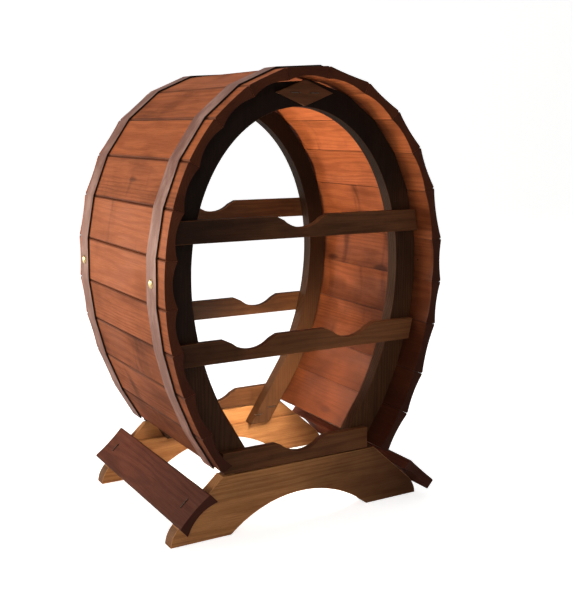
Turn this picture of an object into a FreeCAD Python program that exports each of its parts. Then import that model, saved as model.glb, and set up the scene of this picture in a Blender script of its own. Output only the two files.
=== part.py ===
"""Barrel-shaped wine rack for four bottles, as a parametric FreeCAD document.

Twenty-one hollow-faced staves stand round two oval ring frames. Each ring is made of two
half ovals joined at the top by a stapled plate. Notched rails across the rings carry the
bottles, two straps bind the staves, and two arched boards with two slats form the cradle.

Frame: millimetres, +Z up, the open front faces -Y, the origin is on the floor under the
middle of the barrel.
"""
import FreeCAD, Part
import math
import os

import Sketcher
from FreeCAD import Placement, Rotation, Vector

SIZES = (
    ("stave_length", 300.0, "length of every stave and slat"),
    ("stave_count", 21.0, "staves round the barrel"),
    ("stave_thickness", 15.0, "thickness of a stave at its long edges"),
    ("stave_hollow", 5.0, "depth of the hollow in the inner face of a stave"),
    ("stave_edge_radius", 2.2, "rounding of the outer long edges"),
    ("stave_seam_gap", 0.25, "gap between neighbouring staves"),
    ("stave_end_scoop", 3.2, "depth of the hollow cut in each end of a stave"),
    ("narrow_stave_share", 0.94, "width of a narrow stave compared with a common one"),
    ("broad_stave_share", 1.06, "width of a broad stave compared with a common one"),
    ("wide_stave_share", 1.2, "width of a wide stave compared with a common one"),
    ("oval_half_width", 193.8, "half width of the barrel's oval"),
    ("oval_half_height", 282.3, "half height of the barrel's oval"),
    ("oval_shoulder", 11.7, "how much fuller the oval is above its middle"),
    ("oval_flank", -1.2, "how much flatter the oval's flanks are than an ellipse"),
    ("stave_foot_gap", 1.1, "gap between the base and the lowest stave"),
    ("first_seam_angle", -134.1, "where the first stave starts, degrees from the top"),
    ("last_seam_angle", 138.5, "where the last stave ends, degrees from the top"),
    ("front_ring_width", 33.0, "radial width of the front ring frame"),
    ("front_ring_shift", 2.0, "sideways shift of the front ring frame's inner edge"),
    ("rear_ring_width", 27.0, "radial width of the rear ring frame"),
    ("ring_thickness", 18.0, "thickness of the ring frames along the barrel"),
    ("ring_joint_offset", 6.0, "where the two halves of a ring meet, right of the middle"),
    ("ring_joint_gap", 0.2, "gap between the two halves of a ring"),
    ("front_overhang", 38.0, "staves in front of the front ring"),
    ("rear_overhang", 20.0, "staves behind the rear ring"),
    ("rail_thickness", 10.0, "thickness of the bottle rails"),
    ("rail_height", 27.5, "height of the bottle rails"),
    ("rail_end_clearance", 1.5, "gap between a rail's end and the staves"),
    ("upper_rail_rise", 103.9, "upper rails' top edge above the oval's middle"),
    ("middle_rail_drop", 41.6, "middle rails' top edge below the oval's middle"),
    ("lower_rail_gap", 2.0, "gap between the base and the lower rails"),
    ("seat_half_width", 37.0, "half width of a bottle seat at the rail's top edge"),
    ("seat_shoulder_drop", 5.0, "drop of a seat's sloping shoulders"),
    ("seat_radius", 40.0, "radius of the round bottom of a seat"),
    ("seat_round_depth", 10.0, "depth of the round bottom of a seat"),
    ("seat_spacing", 143.0, "distance between the two seats of a middle rail"),
    ("base_thickness", 18.0, "thickness of the base boards"),
    ("base_height", 77.5, "height of the front base board"),
    ("rear_base_height", 54.0, "height of the rear base board"),
    ("base_top_inset", 2.8, "end of the base's top edge inside the lowest stave's corner"),
    ("base_slope", 42.0, "slope of the base boards' shoulders, degrees"),
    ("shoulder_run", 59.0, "width of a base board's shoulder above its toe"),
    ("toe_run", 12.0, "width of a base board's rounded toe"),
    ("foot_length", 82.0, "length of a foot beside the arch"),
    ("arch_rise", 38.0, "height of the arch"),
    ("tie_thickness", 10.0, "thickness of the tie board behind the rear legs"),
    ("slat_width", 54.0, "width of the two slats of the cradle"),
    ("left_slat_offset", 27.0, "left slat's distance down its shoulder"),
    ("right_slat_offset", 41.0, "right slat's distance down its shoulder"),
    ("hoop_width", 28.0, "width of the straps"),
    ("hoop_thickness", 2.4, "thickness of the straps"),
    ("front_hoop_setback", 36.5, "front strap's middle behind the front ends"),
    ("rear_hoop_setback", 27.5, "rear strap's middle before the rear ends"),
    ("tack_head_radius", 6.0, "radius of a tack's domed head"),
    ("tack_head_height", 2.6, "height of a tack's domed head"),
    ("tack_pin_radius", 1.0, "radius of a tack's pin"),
    ("tack_pin_length", 9.0, "length of a tack's pin"),
    ("tack_hole_clearance", 0.15, "gap round a tack's pin"),
    ("tack_drop", 3.0, "how far a tack sits below the middle of its stave"),
    ("plate_half_width", 40.0, "half width of the plates over the ring joints"),
    ("plate_half_height", 15.7, "half height of the plates over the ring joints"),
    ("plate_thickness", 4.0, "thickness of the plates over the ring joints"),
    ("staple_crown", 13.0, "length of a staple"),
    ("staple_wire", 1.2, "width and height of the staple wire"),
    ("staple_leg", 3.6, "depth of a staple's legs"),
    ("staple_hole_clearance", 0.1, "gap round a staple's legs"),
    ("plate_staple_spacing", 26.0, "distance between the two staples of a plate"),
    ("leg_staple_height", 14.0, "lower staple's height above the foot of a rear leg"),
    ("leg_staple_rise", 9.0, "rise from the lower to the upper staple of a leg"),
    ("leg_staple_shift", 22.0, "sideways step from the lower to the upper staple"),
    ("slat_staple_inset", 32.0, "distance of a slat's staples from its ends"),
)

NARROW_STAVES = (1, 3, 4, 10)
BROAD_STAVES = (11, 12)
WIDE_STAVES = (16, 19)
TACKED_STAVES = (5, 17)
OVAL_STEPS = 2000
RING_POINTS = 25
REACH = 1000.0

doc = FreeCAD.newDocument("wine_rack")
sheet = doc.addObject("Spreadsheet::Sheet", "Sizes")
layout = doc.addObject("Spreadsheet::Sheet", "Layout")
parts = []
worked_out = []


# ---------------------------------------------------------------- sheets

def fill_sizes():
    """Write the driving sizes into the first sheet."""
    for row, (alias, size, meaning) in enumerate(SIZES, start=1):
        sheet.set(f"A{row}", alias)
        sheet.set(f"B{row}", str(size))
        sheet.setAlias(f"B{row}", alias)
        sheet.set(f"C{row}", meaning)
    doc.recompute()


def add_layout(alias, size):
    """Write one worked-out size into the second sheet."""
    worked_out.append(alias)
    row = len(worked_out)
    layout.set(f"A{row}", alias)
    layout.set(f"B{row}", repr(float(size)))
    layout.setAlias(f"B{row}", alias)


def size_of(alias):
    """Return a driving size as a number."""
    return float(sheet.get(alias))


def number(expression):
    """Return the number that an expression gives."""
    answer = sheet.evalExpression(expression)
    return float(getattr(answer, "Value", answer))


# ---------------------------------------------------------------- the oval

def centre_height():
    """Return the height of the oval's middle, so that the lowest stave clears the base."""
    lowest = math.cos(math.radians(size_of("last_seam_angle")))
    low = size_of("base_height") + size_of("stave_foot_gap")
    return low - size_of("oval_half_height") * lowest


def oval_point(angle):
    """Return a point of the oval; the angle is in radians, clockwise from the top."""
    x = size_of("oval_half_width") * math.sin(angle)
    x += size_of("oval_shoulder") * math.sin(2 * angle)
    x += size_of("oval_flank") * math.sin(3 * angle)
    return Vector(x, 0, centre_height() + size_of("oval_half_height") * math.cos(angle))


def oval_normal(angle):
    """Return the outward direction of the oval at an angle."""
    along_x = size_of("oval_half_width") * math.cos(angle)
    along_x += 2 * size_of("oval_shoulder") * math.cos(2 * angle)
    along_x += 3 * size_of("oval_flank") * math.cos(3 * angle)
    along_z = -size_of("oval_half_height") * math.sin(angle)
    return Vector(-along_z, 0, along_x).normalize()


def inside_oval(angle, depth):
    """Return the point that lies a depth inside the oval."""
    return oval_point(angle) - oval_normal(angle) * depth


def stave_share(stave):
    """Return a stave's width compared with a common stave."""
    for name, staves in (("narrow", NARROW_STAVES), ("broad", BROAD_STAVES), ("wide", WIDE_STAVES)):
        if stave in staves:
            return size_of(f"{name}_stave_share")
    return 1.0


def seam_angles():
    """Return the oval's angle at each seam, so that the staves share its length."""
    first = math.radians(size_of("first_seam_angle"))
    last = math.radians(size_of("last_seam_angle"))
    angles = [first + (last - first) * step / OVAL_STEPS for step in range(OVAL_STEPS + 1)]
    points = [oval_point(angle) for angle in angles]
    run = [0.0]
    for before, after in zip(points, points[1:]):
        run.append(run[-1] + (after - before).Length)
    shares = [stave_share(stave) for stave in range(1, int(size_of("stave_count")) + 1)]
    seams = [first]
    reached = 0.0
    step = 0
    for share in shares[:-1]:
        reached += run[-1] * share / sum(shares)
        while run[step + 1] < reached:
            step += 1
        part_way = (reached - run[step]) / (run[step + 1] - run[step])
        seams.append(angles[step] + part_way * (angles[step + 1] - angles[step]))
    return seams + [last]


def stave_directions(seams):
    """Return the direction across each stave, from its first seam to its second."""
    points = [oval_point(angle) for angle in seams]
    return [(after - before).normalize() for before, after in zip(points, points[1:])]


def offset_corners(seams, directions, lift):
    """Return the corners over the seams, a lift outside the staves' outer faces."""
    corners = []
    for index, angle in enumerate(seams):
        near = directions[max(index - 1, 0)]
        far = directions[min(index, len(directions) - 1)]
        half_turn = near.getAngle(far) / 2
        along = (near + far).normalize()
        outward = Vector(-along.z, 0, along.x)
        corners.append(oval_point(angle) + outward * (lift / math.cos(half_turn)))
    return corners


def inner_half_width(height, side):
    """Return how far the inner edges of the staves stand from the middle at a height."""
    thickness = size_of("stave_thickness")
    low = math.pi * 0.999
    high = 0.001
    for _ in range(60):
        angle = (low + high) / 2
        if inside_oval(angle, thickness).z > height:
            high = angle
        else:
            low = angle
    return side * inside_oval(low, thickness).x


# ---------------------------------------------------------------- sketches and features

def origin_plane(body, role):
    """Return one of a body's own origin planes."""
    return next(item for item in body.Origin.OriginFeatures if item.Role == role)


def new_body(name):
    """Start a body that becomes one of the rack's pieces."""
    body = doc.addObject("PartDesign::Body", name)
    body.Label = name
    parts.append(body)
    return body


def new_sketch(body, name, role):
    """Add a sketch on one of the body's origin planes."""
    sketch = body.newObject("Sketcher::SketchObject", name)
    sketch.AttachmentSupport = [(origin_plane(body, role), "")]
    sketch.MapMode = "FlatFace"
    return sketch


def bind(sketch, constraint, expression):
    """Add a constraint whose value follows an expression."""
    index = sketch.addConstraint(constraint)
    sketch.setExpression(f"Constraints[{index}]", expression)


def arc_between(start, end, radius, side):
    """Return an arc from start to end that bulges to the left or the right of the way."""
    middle = (start + end) / 2
    half = (end - start).Length / 2
    along = (end - start).normalize()
    left = Vector(-along.y, along.x, 0)
    bulge = left if side == "left" else left * -1
    centre = middle - bulge * math.sqrt(max(radius * radius - half * half, 0.0))
    return Part.ArcOfCircle(start, centre + bulge * radius, end)


def add_outline(sketch, corners, arcs=None):
    """Draw a closed outline whose corners and arc radii follow expressions.

    corners are pairs of expressions; arcs gives, for the edge after a corner, its radius
    expression and the side to which it bulges.
    """
    arcs = arcs or {}
    points = [Vector(number(across), number(up), 0) for across, up in corners]
    ends = []
    for index, start in enumerate(points):
        end = points[(index + 1) % len(points)]
        if index in arcs:
            radius, side = arcs[index]
            geometry = sketch.addGeometry(arc_between(start, end, number(radius), side), False)
            begins = (sketch.getPoint(geometry, 1) - start).Length < 1e-6
            ends.append((geometry, 1, 2) if begins else (geometry, 2, 1))
        else:
            ends.append((sketch.addGeometry(Part.LineSegment(start, end), False), 1, 2))
    for index, (geometry, start_vertex, _) in enumerate(ends):
        before, _, end_vertex = ends[index - 1]
        sketch.addConstraint(
            Sketcher.Constraint("Coincident", before, end_vertex, geometry, start_vertex))
        across, up = corners[index]
        bind(sketch, Sketcher.Constraint(
            "DistanceX", -1, 1, geometry, start_vertex, points[index].x), across)
        bind(sketch, Sketcher.Constraint(
            "DistanceY", -1, 1, geometry, start_vertex, points[index].y), up)
        if index in arcs:
            radius = arcs[index][0]
            bind(sketch, Sketcher.Constraint("Radius", geometry, number(radius)), radius)


def add_circle(sketch, across, up, radius):
    """Draw a circle whose centre and radius follow expressions."""
    centre = Vector(number(across), number(up), 0)
    circle = Part.Circle(centre, Vector(0, 0, 1), number(radius))
    geometry = sketch.addGeometry(circle, False)
    bind(sketch, Sketcher.Constraint("DistanceX", -1, 1, geometry, 3, centre.x), across)
    bind(sketch, Sketcher.Constraint("DistanceY", -1, 1, geometry, 3, centre.y), up)
    bind(sketch, Sketcher.Constraint("Radius", geometry, number(radius)), radius)


def pad(body, sketch, thickness):
    """Thicken a sketch equally to both sides."""
    feature = body.newObject("PartDesign::Pad", f"{body.Name}_pad")
    feature.Profile = sketch
    feature.SideType = "Symmetric"
    feature.setExpression("Length", thickness)
    sketch.Visibility = False
    return feature


def cut_through(body, sketch, name):
    """Cut a sketch right through the body, to both sides."""
    doc.recompute()
    before = body.Shape.Volume
    feature = body.newObject("PartDesign::Pocket", f"{body.Name}_{name}")
    feature.Profile = sketch
    feature.SideType = "Symmetric"
    feature.Type = "ThroughAll"
    sketch.Visibility = False
    doc.recompute()
    if body.Shape.Volume >= before:
        raise RuntimeError(f"{feature.Name} cuts nothing")
    return feature


def cut_down(body, sketch, name, depth):
    """Cut a sketch to a depth below its own plane."""
    doc.recompute()
    before = body.Shape.Volume
    feature = body.newObject("PartDesign::Pocket", f"{body.Name}_{name}")
    feature.Profile = sketch
    feature.setExpression("Length", depth)
    sketch.Visibility = False
    doc.recompute()
    if body.Shape.Volume >= before:
        raise RuntimeError(f"{feature.Name} cuts nothing")
    return feature


def add_shape(name, shape):
    """Add a piece whose shape is worked out here."""
    feature = doc.addObject("Part::Feature", name)
    feature.Label = name
    feature.Shape = shape
    parts.append(feature)
    return feature


# ---------------------------------------------------------------- staves and slats

def hollow_board(name, width, left_mitre, right_mitre):
    """Build a stave or slat: outer face up, hollow face down, both ends scooped."""
    body = new_body(name)
    gap = "Sizes.stave_seam_gap / 2"
    rounding = "Sizes.stave_edge_radius"
    thick = "Sizes.stave_thickness"
    hollow = "Sizes.stave_hollow"
    right = f"{width} / 2 - {gap}"
    left = f"{gap} - {width} / 2"
    inner_right = f"{right} - {thick} * tan({right_mitre})"
    inner_left = f"{left} + {thick} * tan({left_mitre})"
    section = new_sketch(body, f"{name}_section", "XZ_Plane")
    corners = (
        (f"{left} + {rounding}", "0"),
        (f"{right} - {rounding}", "0"),
        (f"{right} - {rounding} * tan({right_mitre})", f"-{rounding}"),
        (inner_right, f"-{thick}"),
        (inner_left, f"-{thick}"),
        (f"{left} + {rounding} * tan({left_mitre})", f"-{rounding}"),
    )
    half_chord = f"(({inner_right}) - ({inner_left})) / 2"
    hollow_radius = f"(({half_chord})^2 + {hollow}^2) / (2 * {hollow})"
    arcs = {
        1: (f"{rounding} * 1.05", "left"),
        3: (hollow_radius, "right"),
        5: (f"{rounding} * 1.05", "left"),
    }
    add_outline(section, corners, arcs)
    pad(body, section, "Sizes.stave_length")
    scoop = "Sizes.stave_end_scoop"
    radius = f"(({right})^2 + {scoop}^2) / (2 * {scoop})"
    reach = f"Sizes.stave_length / 2 - {scoop} + {radius}"
    scoops = new_sketch(body, f"{name}_scoops", "XY_Plane")
    add_circle(scoops, "0", reach, radius)
    add_circle(scoops, "0", f"-({reach})", radius)
    cut_through(body, scoops, "end_scoops")
    return body


def tack_side(stave):
    """Return 1 if a stave's direction leads down to the floor, -1 if it leads up."""
    return 1 if stave > size_of("stave_count") / 2 else -1


def drill_tack_holes(body, stave):
    """Drill the pin holes of the two tacks in a stave."""
    holes = new_sketch(body, f"{body.Name}_tack_holes", "XY_Plane")
    radius = "Sizes.tack_pin_radius + Sizes.tack_hole_clearance"
    across = f"{tack_side(stave)} * Sizes.tack_drop"
    add_circle(holes, across, "Sizes.front_hoop_setback - Sizes.stave_length / 2", radius)
    add_circle(holes, across, "Sizes.stave_length / 2 - Sizes.rear_hoop_setback", radius)
    cut_through(body, holes, "tack_holes")


def across_placement(outer_middle, across):
    """Place a board so that its outer face looks away from the barrel."""
    turn = -math.degrees(math.atan2(across.z, across.x))
    return Placement(outer_middle, Rotation(Vector(0, 1, 0), turn))


def build_staves(seams, directions):
    """Build the staves, each mitred to its two neighbours."""
    for index, across in enumerate(directions):
        stave = index + 1
        first = oval_point(seams[index])
        second = oval_point(seams[index + 1])
        add_layout(f"width_{stave:02d}", (second - first).Length)
        for name, neighbour in (("left", index - 1), ("right", index + 1)):
            mitre = 0.0
            if 0 <= neighbour < len(directions):
                mitre = math.degrees(across.getAngle(directions[neighbour])) / 2
            add_layout(f"{name}_mitre_{stave:02d}", mitre)
        doc.recompute()
        body = hollow_board(
            f"stave_{stave:02d}", f"Layout.width_{stave:02d}",
            f"Layout.left_mitre_{stave:02d} * 1deg", f"Layout.right_mitre_{stave:02d} * 1deg")
        if stave in TACKED_STAVES:
            drill_tack_holes(body, stave)
        body.Placement = across_placement((first + second) / 2, across)


def slat_placement(side, offset):
    """Place a slat on the sloping shoulders of the base boards."""
    slope = math.radians(size_of("base_slope"))
    down = Vector(side * math.cos(slope), 0, -math.sin(slope))
    outward = Vector(side * math.sin(slope), 0, math.cos(slope))
    corner = Vector(side * number("Layout.base_top_half"), 0, size_of("base_height"))
    middle = corner + down * (size_of(offset) + size_of("slat_width") / 2)
    middle += outward * size_of("stave_thickness")
    across = down if side > 0 else down * -1
    return across_placement(middle, across)


def build_slats():
    """Build the two slats of the cradle, with holes for their staples."""
    for name, side in (("left", -1), ("right", 1)):
        body = hollow_board(f"{name}_slat", "Sizes.slat_width", "0deg", "0deg")
        holes = new_sketch(body, f"{name}_slat_staple_holes", "XY_Plane")
        for end in ("-", ""):
            middle = f"{end}(Sizes.stave_length / 2 - Sizes.slat_staple_inset)"
            add_staple_holes(holes, "0", middle)
        cut_down(body, holes, "staple_holes", "Sizes.staple_leg + Sizes.staple_hole_clearance")
        body.Placement = slat_placement(side, f"{name}_slat_offset")


# ---------------------------------------------------------------- ring frames

def ring_curve(seams, depth, shift):
    """Return points along a ring, at a depth inside the oval, from left to right."""
    start = seams[1]
    end = seams[-2]
    angles = [start + (end - start) * step / (RING_POINTS - 1) for step in range(RING_POINTS)]
    return [inside_oval(angle, depth) + Vector(shift, 0, 0) for angle in angles]


def spline(points):
    """Return an edge that runs smoothly through the points."""
    curve = Part.BSplineCurve()
    curve.interpolate(points)
    return curve.toShape()


def ring_shape(seams, directions, width, shift):
    """Return the whole ring frame, with legs that still run on below the floor.

    Its outer edge lies flat against the inner edges of the staves; its inner edge is smooth.
    """
    thickness = size_of("stave_thickness")
    outer = offset_corners(seams, directions, -thickness)[1:-1]
    inner = ring_curve(seams, thickness + width, shift)
    left_out = outer[0] - directions[0] * REACH
    left_in = inner[0] - directions[0] * REACH
    right_out = outer[-1] + directions[-1] * REACH
    right_in = inner[-1] + directions[-1] * REACH
    outline = Part.makePolygon([inner[0], left_in, left_out, *outer, right_out, right_in, inner[-1]])
    face = Part.Face(Part.Wire(Part.__sortEdges__(outline.Edges + [spline(inner)])))
    return face.extrude(Vector(0, size_of("ring_thickness"), 0))


def ring_half_space(side, foot_height):
    """Return the box that holds one half of a ring frame above its foot."""
    joint = size_of("ring_joint_offset") + side * size_of("ring_joint_gap") / 2
    left = joint if side > 0 else joint - REACH
    return Part.makeBox(REACH, REACH, REACH, Vector(left, -REACH / 2, foot_height))


def leg_staple_spots(seams, directions, side):
    """Return the middles of the two staples on a rear leg, seen from the front."""
    curve = ring_curve(seams, size_of("stave_thickness") + size_of("rear_ring_width") / 2, 0.0)
    knee = curve[-1] if side > 0 else curve[0]
    along = directions[-1] if side > 0 else directions[0]
    lower = size_of("rear_base_height") + size_of("leg_staple_height")
    centre_x = knee.x + along.x * (lower - knee.z) / along.z
    shift = side * size_of("leg_staple_shift") / 2
    upper = lower + size_of("leg_staple_rise")
    return Vector(centre_x - shift, 0, lower), Vector(centre_x + shift, 0, upper)


def build_rings(seams, directions):
    """Build the four half rings; the rear legs have holes for their staples."""
    half_length = size_of("stave_length") / 2
    rear_face = half_length - size_of("rear_overhang") - size_of("ring_thickness")
    front_face = size_of("front_overhang") - half_length
    rings = (
        ("front", front_face, size_of("base_height"), size_of("front_ring_shift")),
        ("rear", rear_face, size_of("rear_base_height"), 0.0),
    )
    for end, face, foot, shift in rings:
        whole = ring_shape(seams, directions, size_of(f"{end}_ring_width"), shift)
        for name, side in (("left", -1), ("right", 1)):
            half = whole.common(ring_half_space(side, foot))
            if end == "rear":
                for spot in leg_staple_spots(seams, directions, side):
                    half = half.cut(staple_leg_holes(spot))
            piece = add_shape(f"{end}_ring_{name}", half)
            piece.Placement = Placement(Vector(0, face, 0), Rotation())


# ---------------------------------------------------------------- rails

def seat_outline(sketch, middle):
    """Draw one bottle seat, open at the rail's top edge."""
    top = "Sizes.rail_height"
    chord = "sqrt(Sizes.seat_radius^2 - (Sizes.seat_radius - Sizes.seat_round_depth)^2)"
    low = f"{top} - Sizes.seat_shoulder_drop"
    high = f"{top} + Sizes.seat_shoulder_drop"
    corners = (
        (f"{middle} - Sizes.seat_half_width", high),
        (f"{middle} - Sizes.seat_half_width", top),
        (f"{middle} - {chord}", low),
        (f"{middle} + {chord}", low),
        (f"{middle} + Sizes.seat_half_width", top),
        (f"{middle} + Sizes.seat_half_width", high),
    )
    add_outline(sketch, corners, {2: ("Sizes.seat_radius", "right")})


def build_rail(name, level, bottom, seats, across):
    """Build one notched rail between the staves."""
    body = new_body(f"{name}_{level}_rail")
    face = new_sketch(body, f"{body.Name}_face", "XZ_Plane")
    corners = (
        (f"Layout.{level}_left_low", "0"),
        (f"Layout.{level}_left_high", "Sizes.rail_height"),
        (f"Layout.{level}_right_high", "Sizes.rail_height"),
        (f"Layout.{level}_right_low", "0"),
    )
    add_outline(face, corners)
    pad(body, face, "Sizes.rail_thickness")
    notches = new_sketch(body, f"{body.Name}_seats", "XZ_Plane")
    for seat in seats:
        seat_outline(notches, seat)
    cut_through(body, notches, "seats")
    body.Placement = Placement(Vector(0, across, bottom), Rotation())


def build_rails(seams, directions):
    """Build the six rails: three in front of the front ring, three behind the rear ring."""
    height = size_of("rail_height")
    clearance = size_of("rail_end_clearance")
    lower_bottom = size_of("base_height") + size_of("lower_rail_gap")
    levels = (
        ("upper", centre_height() + size_of("upper_rail_rise") - height, ("0",)),
        ("middle", centre_height() - size_of("middle_rail_drop") - height,
         ("-Sizes.seat_spacing / 2", "Sizes.seat_spacing / 2")),
        ("lower", lower_bottom, ("0",)),
    )
    corners = offset_corners(seams, directions, -size_of("stave_thickness"))
    for level, bottom, _ in levels:
        for name, side, corner in (("left", -1, corners[0]), ("right", 1, corners[-1])):
            for edge, at in (("low", bottom), ("high", bottom + height)):
                reach = abs(corner.x) if corner.z > bottom else abs(inner_half_width(at, side))
                add_layout(f"{level}_{name}_{edge}", side * (reach - clearance))
    doc.recompute()
    half_length = size_of("stave_length") / 2
    half_rail = size_of("rail_thickness") / 2
    front = size_of("front_overhang") - half_length - half_rail
    rear = half_length - size_of("rear_overhang") + half_rail
    for name, across in (("front", front), ("rear", rear)):
        for level, bottom, seats in levels:
            build_rail(name, level, bottom, seats, across)


# ---------------------------------------------------------------- base

def shoulder_half(height):
    """Return the expression for a base board's half width at a height."""
    return f"Layout.base_top_half + (Sizes.base_height - {height}) / tan(Sizes.base_slope * 1deg)"


def build_base_board(name, height, across):
    """Build one arched base board with sloping shoulders and rounded toes."""
    body = new_body(f"{name}_base_board")
    face = new_sketch(body, f"{body.Name}_face", "XZ_Plane")
    toe_start = "(Layout.base_top_half + Sizes.shoulder_run)"
    foot = f"({toe_start} + Sizes.toe_run)"
    arch = f"({foot} - Sizes.foot_length)"
    toe_height = "(Sizes.base_height - Sizes.shoulder_run * tan(Sizes.base_slope * 1deg))"
    toe_chord = f"sqrt(Sizes.toe_run^2 + {toe_height}^2)"
    toe_turn = f"atan({toe_height} / Sizes.toe_run) - Sizes.base_slope * 1deg"
    toe_radius = f"{toe_chord} / (2 * sin({toe_turn}))"
    arch_radius = f"({arch}^2 + Sizes.arch_rise^2) / (2 * Sizes.arch_rise)"
    corners = (
        (f"-({shoulder_half(height)})", height),
        (shoulder_half(height), height),
        (toe_start, toe_height),
        (foot, "0"),
        (arch, "0"),
        (f"-{arch}", "0"),
        (f"-{foot}", "0"),
        (f"-{toe_start}", toe_height),
    )
    arcs = {
        2: (toe_radius, "left"),
        4: (arch_radius, "right"),
        6: (toe_radius, "left"),
    }
    add_outline(face, corners, arcs)
    pad(body, face, "Sizes.base_thickness")
    body.Placement = Placement(Vector(0, across, 0), Rotation())


def build_tie_board(across):
    """Build the tie board that stands on the rear base board, behind the legs."""
    body = new_body("rear_tie_board")
    face = new_sketch(body, "rear_tie_board_face", "XZ_Plane")
    low = "Sizes.rear_base_height"
    high = "Sizes.base_height"
    corners = (
        (f"-({shoulder_half(low)})", low),
        (f"-({shoulder_half(high)})", high),
        (shoulder_half(high), high),
        (shoulder_half(low), low),
    )
    add_outline(face, corners)
    pad(body, face, "Sizes.tie_thickness")
    body.Placement = Placement(Vector(0, across, 0), Rotation())


def build_base():
    """Build the two base boards and the tie board, flush with the rails' outer faces."""
    half_length = size_of("stave_length") / 2
    front_face = size_of("front_overhang") - size_of("rail_thickness") - half_length
    rear_face = half_length - size_of("rear_overhang") + size_of("rail_thickness")
    half_board = size_of("base_thickness") / 2
    build_base_board("front", "Sizes.base_height", front_face + half_board)
    build_base_board("rear", "Sizes.rear_base_height", rear_face - half_board)
    build_tie_board(rear_face - size_of("tie_thickness") / 2)


# ---------------------------------------------------------------- straps and tacks

def tack_spot(seams, directions, stave):
    """Return a tack's place on a stave's outer face and the direction that it looks."""
    middle = (oval_point(seams[stave - 1]) + oval_point(seams[stave])) / 2
    across = directions[stave - 1]
    spot = middle + across * tack_side(stave) * size_of("tack_drop")
    return spot, Vector(-across.z, 0, across.x)


def tack_shape(spot, outward):
    """Return a domed tack whose pin goes through the strap into the stave."""
    radius = size_of("tack_head_radius")
    height = size_of("tack_head_height")
    dome_radius = (radius * radius + height * height) / (2 * height)
    seat = spot + outward * size_of("hoop_thickness")
    ball = Part.makeSphere(dome_radius, seat + outward * (height - dome_radius))
    slab = Part.makeCylinder(radius + 1, height + 1, seat, outward)
    pin = Part.makeCylinder(
        size_of("tack_pin_radius"), size_of("tack_pin_length"), seat, outward * -1)
    return ball.common(slab).fuse(pin)


def build_hoops(seams, directions):
    """Build the two straps and the brass tacks that pin them."""
    half_length = size_of("stave_length") / 2
    width = size_of("hoop_width")
    hole = size_of("tack_pin_radius") + size_of("tack_hole_clearance")
    inner = offset_corners(seams, directions, 0.0)
    outer = offset_corners(seams, directions, size_of("hoop_thickness"))
    band = Part.Face(Part.makePolygon(inner + outer[::-1] + inner[:1]))
    hoops = (
        ("front", size_of("front_hoop_setback") - half_length),
        ("rear", half_length - size_of("rear_hoop_setback")),
    )
    for name, across in hoops:
        strap = band.extrude(Vector(0, width, 0))
        tacks = []
        for stave in TACKED_STAVES:
            spot, outward = tack_spot(seams, directions, stave)
            spot += Vector(0, width / 2, 0)
            strap = strap.cut(Part.makeCylinder(hole, REACH / 10, spot, outward))
            tacks.append(tack_shape(spot, outward))
        place = Placement(Vector(0, across - width / 2, 0), Rotation())
        add_shape(f"{name}_hoop", strap).Placement = place
        add_shape(f"{name}_hoop_tacks", Part.makeCompound(tacks)).Placement = place


# ---------------------------------------------------------------- plates and staples

def add_staple_holes(sketch, across, up):
    """Draw the two square holes for a staple's legs."""
    half = "(Sizes.staple_wire / 2 + Sizes.staple_hole_clearance)"
    for side in ("-", "+"):
        middle = f"{across} {side} (Sizes.staple_crown - Sizes.staple_wire) / 2"
        corners = (
            (f"{middle} - {half}", f"{up} - {half}"),
            (f"{middle} + {half}", f"{up} - {half}"),
            (f"{middle} + {half}", f"{up} + {half}"),
            (f"{middle} - {half}", f"{up} + {half}"),
        )
        add_outline(sketch, corners)


def staple_leg_holes(spot):
    """Return the two holes of a staple driven from the front into a ring's leg."""
    clearance = size_of("staple_hole_clearance")
    side = size_of("staple_wire") + 2 * clearance
    reach = (size_of("staple_crown") - size_of("staple_wire")) / 2
    depth = size_of("staple_leg") + clearance
    holes = []
    for shift in (-reach, reach):
        corner = spot + Vector(shift - side / 2, 0, -side / 2)
        holes.append(Part.makeBox(side, depth, side, corner))
    return Part.makeCompound(holes)


def staple_shape():
    """Return a staple that lies along X, with its crown above Z = 0 and its legs below."""
    wire = size_of("staple_wire")
    crown = size_of("staple_crown")
    leg = size_of("staple_leg")
    bridge = Part.makeBox(crown, wire, wire, Vector(-crown / 2, -wire / 2, 0))
    left = Part.makeBox(wire, wire, leg, Vector(-crown / 2, -wire / 2, -leg))
    right = Part.makeBox(wire, wire, leg, Vector(crown / 2 - wire, -wire / 2, -leg))
    return bridge.fuse([left, right]).removeSplitter()


def staple_group(name, spots, turn):
    """Build a group of staples that lie the same way round."""
    staples = []
    for spot in spots:
        staple = staple_shape()
        staple.Placement = Placement(spot, turn)
        staples.append(staple)
    add_shape(name, Part.makeCompound(staples))


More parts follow.
